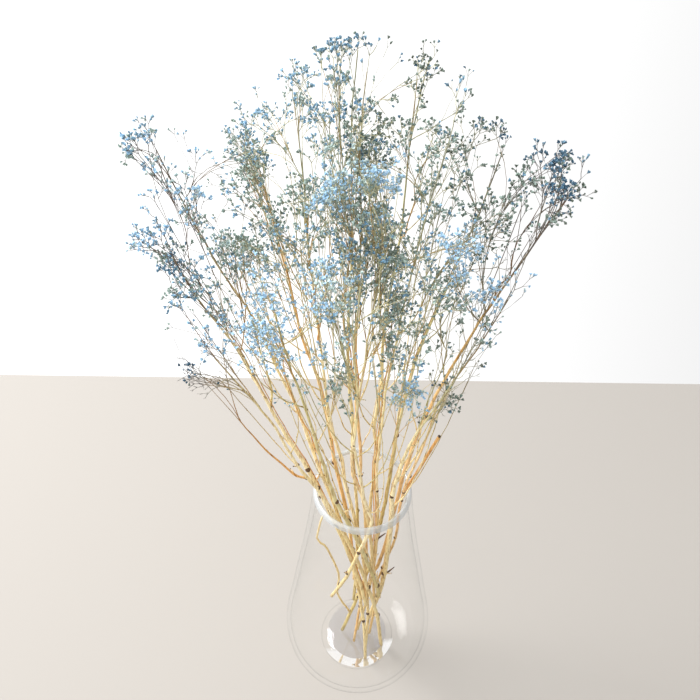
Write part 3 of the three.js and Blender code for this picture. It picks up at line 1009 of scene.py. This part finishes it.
def limb(chance, bearers, target, from_vase):
    """A long shoot. It forks off its stem, or runs beside it up from the vase, and bends to a target."""
    index, rod, i, way = bearers.best(target, chance.uniform(*LIMB_REACH))
    route = rod["route"]
    thick = rod["thickness"][i]
    if from_vase:
        lowest = chance.uniform(*VASE_FORKS)
        first = next(n for n in range(i) if route[n][2] > lowest)
        inwards = unit(point(-route[i][0] or 1, -route[i][1], 0)) + any_side(chance, way) * 0.6
        apart = np.minimum(np.arange(i + 1 - first) / 2, 1) * (thick + STAND_OFF)
        beside = route[first : i + 1] + inwards * apart[:, None]
    else:
        towards = target - route[i]
        aside = unit(towards - way * (towards @ way) + any_side(chance, way) * LIMB_TURN)
        out = chance.uniform(*ELBOW_OUT)
        beside = np.array([route[i], route[i] + aside * out + way * out / math.tan(LIMB_LEAVING)])
        way = unit(way + aside * 0.3)
    far = np.linalg.norm(target - beside[-1])
    free = bow(beside[-1], beside[-1] + way * far * BEND_SHARE, target, LIMB_STEPS)[1:]
    for node in free[:-1]:
        node += any_side(chance, way) * chance.uniform(*LIMB_WANDER)
    smooth = rounded(np.array([*beside, *free]), 2)
    root = min(thick * 0.8, chance.uniform(*LIMB_ROOT))
    thickness = np.linspace(root, LIMB_TIP, len(smooth))
    return index, {"kind": "limb", "route": smooth, "thickness": thickness, "tone": chance.random()}


def collar(spray, route, root, thick):
    """The dark ring at the foot of a shoot, where it comes out of the bark that bears it."""
    way = unit(route[1] - route[0])
    spray["forks"].append((route[0] + way * thick, way, root * COLLAR))


def sprig(chance, bearers, target, sprays):
    """A fine shoot with a head at its end and up to two on its way."""
    index, rod, i, way = bearers.best(target, chance.uniform(*SPRIG_REACH))
    at = rod["route"][i]
    far = np.linalg.norm(target - at)
    points = bow(at, at + way * far * SPRIG_BEND, target, SPRIG_STEPS)
    root = min(rod["thickness"][i] * 0.7, SPRIG_ROOT)
    spray = sprays[index]
    spray["twigs"].append((points, np.linspace(root, SPRIG_TIP, len(points)), chance.random()))
    collar(spray, points, root, rod["thickness"][i])
    heading = end_way(points)
    head(spray, chance, points[-1], heading, "sprig")
    for k in SIDE_HEADS_AT:
        if chance.random() < SIDE_HEADS:
            head(spray, chance, points[k], unit(heading + any_side(chance, heading) * 0.7), "side")


# %% [markdown]
# ## Nodes
#
# A node of a dried stem is a slight swelling with a dark leaf scar on one side. Often a spur stands
# there, the foot of a side shoot that broke off. These marks are what tells a baby's breath stem from a
# wire, so every node of a main stem gets the swelling, most get a scar, and two in five get a spur.

# %% Nodes and spurs
SWELLING = 1.16
SWELLING_HALF_LENGTH = 2.4
SPUR_LENGTH = (2.5, 8)
SPUR_SHARE = 0.4
SCAR_SHARE = 0.7
SPUR_RADIUS = 0.6
SPUR_LEAN = (0.8, 2)
SCAR_SIZE = (0.9, 1.1)
SCARS_SHRINK = ((320, 460), (1.15, 0.85))  # from the first height to the second
# Stubs of lost shoots, inside the vase: their starts and ends
STUBS = [
    ((19.6, 0, 196), (26.8, 0, 206.5)),
    ((22, 0, 139), (30.4, 0, 154.6)),
    ((-11, -14, 250), (-17, -17, 262)),
]
STUB_RADII = [1.0, 0.75, 0.4]


def swollen(route, thickness, nodes):
    """A route and its thickness with a swelling at some of its points."""
    points, radii = [], []
    for i, (place, radius) in enumerate(zip(route, thickness)):
        if i in nodes:
            way = way_at(route, i) * SWELLING_HALF_LENGTH
            points.extend([place - way, place - way * 0.3, place + way * 0.4, place + way])
            radii.extend([radius, radius * SWELLING, radius * SWELLING * 0.97, radius * 0.97])
        else:
            points.append(place)
            radii.append(radius)
    return np.array(points), np.array(radii)


def spur(spray, chance, at, way, radius):
    """A short broken shoot, thick at its root and dark at its ragged tip."""
    side = any_side(chance, way)
    length = chance.uniform(*SPUR_LENGTH)
    end = at + unit(side + way * chance.uniform(*SPUR_LEAN)) * length
    elbow = at + side * radius * 0.5 + (end - at) * 0.4
    root = min(radius * 0.6, SPUR_RADIUS)
    spray["twigs"].append((np.array([at, elbow, end]), [root, root * 0.7, root * 0.5], 0.5))
    spray["scars"].append((end, unit(end - elbow), root * 0.7))


def scar(spray, chance, at, way, radius):
    """A dark leaf scar on one side of a node, smaller towards the crown."""
    side = any_side(chance, way)
    size = radius * chance.uniform(*SCAR_SIZE) * np.interp(at[2], *SCARS_SHRINK)
    spray["scars"].append((at + side * radius * 0.6, way, size))


def grow(spray, chance, rod, nodes, group, spur_share):
    """A rod with the swellings, scars and spurs of its nodes."""
    route, thickness = rod["route"], rod["thickness"]
    spray[group].append((*swollen(route, thickness, nodes), rod["tone"]))
    for i in nodes:
        mark = (spray, chance, route[i], way_at(route, i), thickness[i])
        if chance.random() < SCAR_SHARE:
            scar(*mark)
        if chance.random() < spur_share:
            spur(*mark)


# %% Grow
PARTS = ("stems", "twigs", "stalks", "spurs", "scars", "forks", "florets")
sprays = [{part: [] for part in PARTS} for _ in stems]

LEFT_BARE = dict(stem=22, branch=17, twig=11, broken=0, bare=0)  # what a head takes of its rod's end
rods = []
for index, (stem, spray) in enumerate(zip(stems, sprays)):
    chance = Random(index)
    for rod in stem["rods"]:
        kind = rod["kind"]
        from_end = np.cumsum(np.linalg.norm(np.diff(rod["route"], axis=0), axis=1)[::-1])[::-1]
        keep = max(2, int(np.sum(from_end > LEFT_BARE[kind])) + 1)
        route, thickness = rod["route"][:keep], rod["thickness"][:keep]
        rod.update(route=route, thickness=thickness)
        nodes = range(ROUND_STEPS[kind], keep - 1, ROUND_STEPS[kind]) if kind in ("stem", "branch") else ()
        grow(spray, chance, rod, nodes, "twigs" if kind in ("branch", "twig") else "stems", SPUR_SHARE)
        if rod["parent"]:
            collar(spray, route, thickness[0], at_share(rod["parent"]["thickness"], rod["share"]))
        if kind == "broken":
            spray["scars"].append((route[-1], end_way(route), thickness[-1] * 1.05))
        if kind in FLOWERING:
            inside = cloud_near(route[-1])[1] < 1
            head(spray, chance, route[-1], end_way(route), kind if inside else "lone")
            rods.append((index, rod))

bearers = Bearers([row for row in rods if row[1]["kind"] == "stem"], FREE_ABOVE, STEM_CROWDING)
limbs = []
for k, cloud in enumerate(clouds):
    chance = Random(k)
    for _ in range(cloud.sprigs // SPRIGS_PER_LIMB):
        target = within(chance, cloud, LIMB_SHORT)
        limbs.append(limb(chance, bearers, target, from_vase=len(limbs) % FROM_VASE == 0))
for index, rod in limbs:
    route, thickness = rod["route"], rod["thickness"]
    grow(sprays[index], chance, rod, range(2, len(route) - 2, 4), "stems", SPUR_SHARE / 2)
    collar(sprays[index], route, thickness[0], thickness[0] * 1.2)
    head(sprays[index], chance, route[-1], end_way(route), "branch")
print("limbs:", len(limbs))

bearers = Bearers([row for row in rods if row[1]["kind"] != "twig"] + limbs, SPRIG_BEARERS)
for k, cloud in enumerate(clouds):
    chance = Random(SPRIG_SEED + k)
    for _ in range(cloud.sprigs):
        sprig(chance, bearers, within(chance, cloud, HEAD_LENGTH), sprays)


def finely(route):
    """The points of a route with others on the straight lines between them."""
    t = np.linspace(0, len(route) - 1, len(route) * 8)
    return np.array([np.interp(t, range(len(route)), column) for column in route.T]).T


mains = [(index, finely(rod["route"])) for index, rod in rods if rod["kind"] == "stem"]
for start, end in STUBS:
    index, fine = min(mains, key=lambda main: np.linalg.norm(main[1] - start, axis=1).min())
    foot = fine[np.linalg.norm(fine - start, axis=1).argmin()]
    way = point(*end) - start
    sprays[index]["spurs"].append((np.array([foot, foot + way * 0.5, foot + way]), STUB_RADII, 0))
for part in ("florets", "stalks"):
    print(part, sum(len(spray[part]) for spray in sprays))


# %% [markdown]
# ## From numbers to meshes
#
# A rod is a curve with a round bevel, thick by its points' own radii, turned into a mesh. Florets, scars
# and forks are copies of a few small shapes, each stamped with its own place, tilt and size.


# %% Meshes of rods
def tubes(name, rows, sides):
    """Round rods along rows of points in millimetres, each point with its own radius, as one mesh."""
    curve = bpy.data.curves.new(name, "CURVE")
    curve.dimensions = "3D"
    curve.bevel_depth = 1
    curve.bevel_resolution = (sides - 4) // 2
    curve.use_fill_caps = True
    marks = []
    for points, radii, tone in rows:
        spline = curve.splines.new("POLY")
        spline.points.add(len(points) - 1)
        places = np.hstack([np.array(points) * MM, np.ones((len(points), 1))])
        spline.points.foreach_set("co", places.ravel())
        spline.points.foreach_set("radius", np.array(radii) * MM)
        marks.extend((radius, tone) for radius in radii)
    holder = bpy.data.objects.new(name, curve)
    mesh = bpy.data.meshes.new_from_object(holder)
    bpy.data.objects.remove(holder)
    bpy.data.curves.remove(curve)
    # The mesh lists the end caps first, from the last rod back to the first one, and then the rings
    caps = [(radius, tone) for _, radii, tone in reversed(rows) for radius in (radii[-1], radii[0])]
    for kind, values in zip(("girth", "tone"), zip(*caps, *marks)):
        mesh.attributes.new(kind, "FLOAT", "POINT").data.foreach_set("value", np.repeat(values, sides))
    return mesh


def shape_of(bm, name):
    """The mesh that a bmesh holds."""
    mesh = bpy.data.meshes.new(name)
    bm.to_mesh(mesh)
    bm.free()
    return mesh


def finished(name, meshes, material, node):
    """One piece from several meshes: doubles merged, material on, riding on the body."""
    bm = bmesh.new()
    for mesh in meshes:
        bm.from_mesh(mesh)
        bpy.data.meshes.remove(mesh)
    bmesh.ops.remove_doubles(bm, verts=bm.verts, dist=1e-7)
    piece = new_object(name, shape_of(bm, name))
    piece.data.materials.append(material)
    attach(piece, "root")
    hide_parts(node)
    return piece


# %% Small shapes
CUP_SINK = 0.55  # how deep the middle of a cup lies, beside its height
NOTCH_DROP = 0.3  # how much lower its rim is between two petals


def cup(bm, sides, low, high, depth, notch, base):
    """A closed cup with a star-shaped rim and a sunken middle."""
    ends = {"cap_ends": True, "cap_tris": True, "radius1": low, "radius2": high}
    for v in bmesh.ops.create_cone(bm, segments=sides, depth=depth, **ends)["verts"]:
        top = v.co.z > 0
        middle = math.hypot(v.co.x, v.co.y) < 1e-6
        v.co.z += depth / 2 + base
        if top and middle:
            v.co.z -= depth * CUP_SINK
        elif top and round(math.atan2(v.co.y, v.co.x) / (math.tau / sides)) % 2:
            v.co.x *= notch
            v.co.y *= notch
            v.co.z -= depth * NOTCH_DROP


def with_petal(mesh):
    """Adds what the material reads: how far out a point lies on the floret, and the floret's shade."""
    heights = np.array([v.co.z for v in mesh.vertices])
    mesh.attributes.new("petal", "FLOAT", "POINT").data.foreach_set("value", heights / heights.max())
    mesh.attributes.new("shade", "FLOAT", "POINT")
    return mesh


def floret(name, *cups):
    """A floret of one cup or of two, the one in the other."""
    bm = bmesh.new()
    for sizes in cups:
        cup(bm, *sizes)
    return with_petal(shape_of(bm, name))


def ball(name, create, stretch, lift, **sizes):
    """A stretched ball."""
    bm = bmesh.new()
    create(bm, **sizes)
    bmesh.ops.scale(bm, vec=(1, 1, stretch), verts=bm.verts)
    bmesh.ops.translate(bm, vec=(0, 0, lift), verts=bm.verts)
    return shape_of(bm, name)


# About 1 unit in radius. A cup has its sides, its two radii, its height, its notches and its foot.
full = floret("full floret", (10, 0.22, 1.0, 1.25, 0.55, 0), (6, 0.2, 0.55, 0.8, 0.6, 0.65))
narrow = floret("narrow floret", (10, 0.25, 0.8, 1.5, 0.6, 0))
bud = with_petal(ball("bud", bmesh.ops.create_icosphere, 1.4, 0.6, subdivisions=1, radius=0.5))
scar_shape = ball("leaf scar", bmesh.ops.create_uvsphere, 1.2, 0, u_segments=8, v_segments=5, radius=1)
collar_shape = ball("collar", bmesh.ops.create_icosphere, 1, 0, subdivisions=1, radius=1)


def placing(at, heading, size, turn=0.0):
    """A matrix that stands a shape on a point, with its Z along a heading, turned and scaled."""
    stand = Vector(heading).to_track_quat("Z", "Y").to_matrix().to_4x4()
    there = Matrix.Translation(Vector(at) * MM)
    return there @ stand @ Matrix.Rotation(turn, 4, "Z") @ Matrix.Scale(size * MM, 4)


def stamped(shapes):
    """One mesh from copies of small shapes: (shape, matrix, shade) each."""
    bm = bmesh.new()
    for shape, matrix, shade in shapes:
        copy = shape.copy()
        copy.transform(matrix)
        if "shade" in copy.attributes:
            copy.attributes["shade"].data.foreach_set("value", [shade] * len(copy.vertices))
        bm.from_mesh(copy)
        bpy.data.meshes.remove(copy)
    return shape_of(bm, "stamped")


# %% Make the sprays
FLORET_RADIUS = (0.75, 1.2)
FLORET_MIX = {full: 5, narrow: 4, bud: 2}
FLORET_SEED = 100
FLORET_TILT = 0.35
PAPERS = {"blue": blue_paper, "grey": grey_paper}

for index, spray in enumerate(sprays):
    name = node_name(index)
    chance = Random(FLORET_SEED + index)
    thick_and_thin = [tubes("thick", spray["stems"], 10), tubes("thin", spray["twigs"], 6)]
    finished(name + "_stems", thick_and_thin, straw, name).data.shade_smooth()
    finished(name + "_stalks", [tubes("stalks", spray["stalks"], 4)], stalk_bark, name)
    knots = [(scar_shape, placing(*row), 0) for row in spray["scars"]]
    knots += [(collar_shape, placing(*row), 0) for row in spray["forks"]]
    spurs = [tubes("spurs", spray["spurs"], 6)] if spray["spurs"] else []
    finished(name + "_nodes", [stamped(knots), *spurs], dark_bark, name).data.shade_smooth()
    groups = {"blue": [], "grey": []}
    for at, heading, dyed, shade in spray["florets"]:
        shape = chance.choices(list(FLORET_MIX), list(FLORET_MIX.values()))[0]
        tilt = unit(heading + FLORET_TILT * any_side(chance, heading))
        matrix = placing(at, tilt, chance.uniform(*FLORET_RADIUS), chance.uniform(0, math.tau))
        groups["blue" if dyed else "grey"].append((shape, matrix, shade))
    for colour, florets in groups.items():
        if florets:
            piece = f"{name}_{colour}_florets"
            finished(piece, [stamped(florets)], PAPERS[colour], name)


def triangles(piece):
    return sum(len(face.vertices) - 2 for face in piece.data.polygons)


counts = {piece.name: triangles(piece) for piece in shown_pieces() if piece.name.startswith("spray")}
print("triangles of the sprays:", sum(counts.values()), "most in one piece:", max(counts.values()))

# %% [markdown]
# ## Vase
#
# The vase is a profile turned round its axis: a flat heel, a low round bulb, a long neck that narrows
# upwards and a lip melted round. The inner wall runs about 4 mm inside the outer one and ends on a thick
# floor, and under the floor the glass is slightly hollow, so that only the heel touches the table.

# %% Vase
OUTSIDE = [
    (37.5, 0),
    (47, 2.2),
    (60, 10.5),
    (68.8, 25),
    (71.6, 44),
    (69.6, 66),
    (65.2, 92),
    (58.6, 135),
    (50.6, 185),
    (43.4, 235),
    (38.4, VASE_HEIGHT - LIP_DEPTH),
]
LIP = [(37.4, VASE_HEIGHT - 0.8), (36.4, VASE_HEIGHT), (35.2, VASE_HEIGHT - 0.8)]
INSIDE = [
    (MOUTH_RADIUS, VASE_HEIGHT - LIP_DEPTH),
    (39.6, 235),
    (46.8, 185),
    (54.8, 135),
    (61.4, 92),
    (65.8, 66),
    (67.8, 45),
    (65.2, 28),
    (57, 16),
    (45.5, 10.6),
    (34, FLOOR_TOP),
]
UNDERSIDE = [(0, 2.6), (18, 2.4), (28, 1.6), (31, 0.4), (32, 0), (36.6, 0)]
TURNS = 96
PROFILE_STEPS = 5
LIP_BEGINS = 0.7  # the share of the last step of the outside where the melted lip begins
RING_INSIDE = 30


def turned(name, profile, steps):
    """A solid of revolution from (radius, height) points in millimetres."""
    bm = bmesh.new()
    ring = [bm.verts.new((r * MM, 0, z * MM)) for r, z in profile]
    edges = [bm.edges.new(pair) for pair in zip(ring, ring[1:])]
    around = {"cent": (0, 0, 0), "axis": (0, 0, 1), "angle": math.tau, "steps": steps}
    bmesh.ops.spin(bm, geom=ring + edges, use_merge=True, use_duplicate=False, **around)
    bmesh.ops.remove_doubles(bm, verts=bm.verts, dist=1e-6)
    bmesh.ops.recalc_face_normals(bm, faces=bm.faces)
    return shape_of(bm, name)


outer = rounded(np.array(OUTSIDE, float), PROFILE_STEPS)
outer = np.insert(outer, -1, at_share(outer[-2:], LIP_BEGINS), axis=0)
inner = rounded(np.array(INSIDE, float), PROFILE_STEPS)
floor_top = [(RING_INSIDE, FLOOR_TOP), (0, FLOOR_TOP)]
glass = turned("glass", [*UNDERSIDE, *outer, *LIP, *inner, *floor_top], TURNS)
vase = finished("vase_glass", [glass], wall_glass, "vase")
vase.data.shade_smooth()
# Clear glass lets the light through, to the stems in it and to the floor
vase.visible_shadow = False
vase.visible_diffuse = False
for extra in GLASS[1:]:
    vase.data.materials.append(extra)
# The radii and heights of each kind of glass. The first row that holds a face counts.
ANY_RADIUS = (0, 100)
ZONES = [
    (lip_glass, ANY_RADIUS, (274, VASE_HEIGHT + 1)),
    (floor_glass, (0, RING_INSIDE), (-1, FLOOR_TOP + 0.2)),
    (heel_glass, (36.5, 37.6), (-1, 0.5)),
    (ring_with_painted_crescent, (RING_INSIDE, 38), (8.5, 10)),
    (bulb_glass, ANY_RADIUS, (-1, 34)),
]
HALF_WALL = 1.5


def glass_at(radius, height):
    """The kind of glass at a place on the vase."""
    for kind, (near, far), (low, high) in ZONES:
        if near <= radius < far and low <= height < high:
            return kind
    outside = np.interp(height, outer[:, 1], outer[:, 0])
    return inner_glass if radius < outside - HALF_WALL else wall_glass


for face in vase.data.polygons:
    x, y, z = face.center / MM
    face.material_index = GLASS.index(glass_at(math.hypot(x, y), z))
print("vase triangles:", triangles(vase))

# %% [markdown]
# ## Floor and light
#
# The bunch stands on a pale matt surface in a bright white room. The whole room gives the light, so the
# shadows are soft and the crown stands light and airy against white. One large lamp on the left shapes
# the glass.

# %% Floor and light
FLOOR_HALF = 1.5  # metres, as all the sizes of the room
FLOOR_END = 0.36  # behind the vase
bm = bmesh.new()
bmesh.ops.create_grid(bm, x_segments=1, y_segments=1, size=FLOOR_HALF)
bmesh.ops.translate(bm, vec=(0, FLOOR_END - FLOOR_HALF, 0), verts=bm.verts)
floor = new_object("floor", shape_of(bm, "floor"))
floor_paint, shader = new_material("pale floor")
set_up(floor_paint, shader, {"Base Color": linear("#B0ABA5"), "Roughness": 0.9}, {})
floor.data.materials.append(floor_paint)

LAMP_AT = Vector((-1.0, 0.4, 1.4))
LAMP_SIZE = 0.8
LAMP_POWER = 25  # watts
LIT_PLACE = Vector((0, 0, 0.35))
ROOM_LIGHT = 1.1  # in the middle of the room
ROOM_DROP = 0.6  # how much less there is on the right, and more on the left
ROOM_DEPTH = 0.12  # how much more there is at the back, and less in front
lamp_data = bpy.data.lights.new("window", "AREA")
lamp_data.size = LAMP_SIZE
lamp_data.energy = LAMP_POWER
lamp = new_object("window", lamp_data)
lamp.location = LAMP_AT
lamp.rotation_euler = (LIT_PLACE - LAMP_AT).to_track_quat("-Z", "Y").to_euler()

room = bpy.data.worlds.new("room")
room.use_nodes = True
facing = add(room, "TexCoord", {}, output="Generated")
slope = {"operation": "DOT_PRODUCT", 1: (-ROOM_DROP, ROOM_DEPTH, 0)}
change = add(room, "VectorMath", slope, {0: facing}, "Value")
light = add(room, "Math", {"operation": "ADD", 1: ROOM_LIGHT}, {0: change})
set_up(room, room.node_tree.nodes["Background"], {"Color": linear("#FFFFFF")}, {"Strength": light})
bpy.context.scene.world = room
bpy.context.scene.view_settings.view_transform = "Standard"
print("room light:", ROOM_LIGHT)
